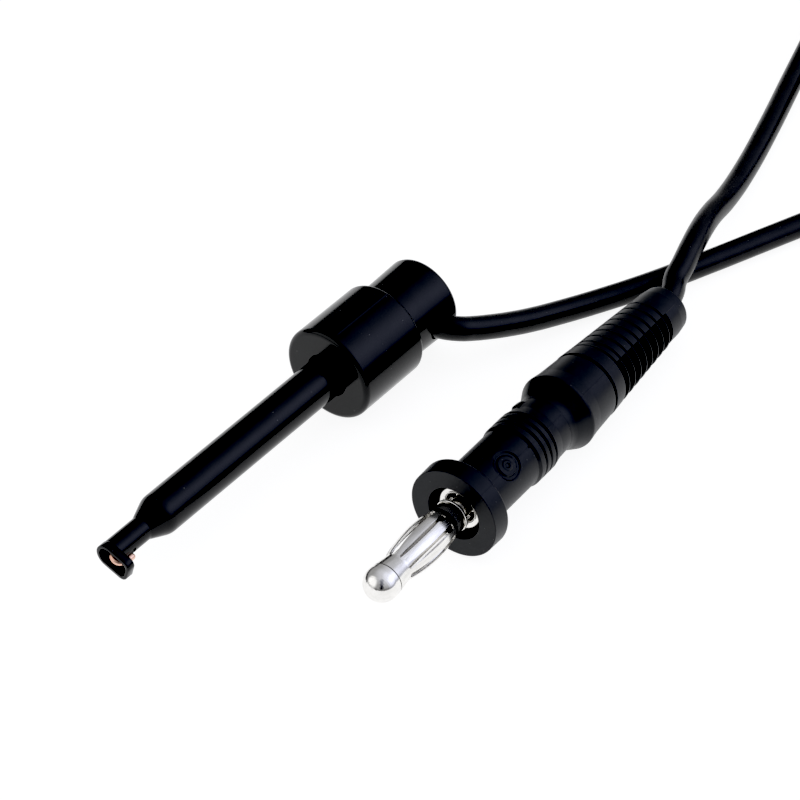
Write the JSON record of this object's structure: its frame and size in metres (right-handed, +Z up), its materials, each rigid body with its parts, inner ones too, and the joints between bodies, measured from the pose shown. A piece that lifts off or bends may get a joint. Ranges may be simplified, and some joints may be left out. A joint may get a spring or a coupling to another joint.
{
  "type": "test lead",
  "caption": "Flexible test lead with a spring-loaded hook clip at one end and a 4 mm lamella plug with a bend-relief boot at the other.",
  "frame": {"origin": "middle of the hook clip's footprint on the table, z = 0 at the table", "axes": "+X along the hook clip from its shoe to its thumb face, +Z up, the plug lying on the -Y side"},
  "size_m": [0.1669, 0.0498, 0.0114],
  "materials": {
    "clip_plastic": "polished black moulding",
    "plug_plastic": "fine satin black moulding",
    "lead_jacket": "smooth soft jacket",
    "nickel": "bright nickel plate",
    "brass": "turned",
    "copper": "copper-coloured bronze wire",
    "spring_steel": "drawn wire",
    "tie_band": "matt black band"
  },
  "bodies": {
    "plunger": {"plunger_body": "clip_plastic", "spring_seat": "brass", "return_spring": "spring_steel", "hook_wire": "copper", "contact_ferrule": "brass", "clip_conductor": "copper", "jacket_stop_ring": "spring_steel", "lead_clip_run": "lead_jacket", "lead_coil": "lead_jacket", "coil_tie": "tie_band", "lead_plug_run": "lead_jacket", "plug_pin": "nickel", "pin_collar": "nickel", "plug_sleeve": "plug_plastic", "crimp_barrel": "brass", "plug_conductor": "copper", "jacket_crimp": "spring_steel", "clamp_sleeve": "plug_plastic", "bend_relief_boot": "plug_plastic"},
    "shell": {"nose_tube": "clip_plastic", "finger_barrel": "clip_plastic"},
    "cage": {"contact_cage": "nickel"}
  },
  "joints": [
    {"name": "shell_slide", "type": "slide", "parent": "plunger", "child": "shell", "axis": [1, 0, 0], "range_m": [0, 0.0025], "stiffness_N_per_m": 400, "springref_m": -0.004, "deforming": ["return_spring"]},
    {"name": "cage_turn", "type": "hinge", "parent": "plunger", "child": "cage", "pos_m": [-0.00506, -0.02415, 0.00568], "axis": [0.9978, 0.0551, -0.0378], "continuous": true}
  ]
}
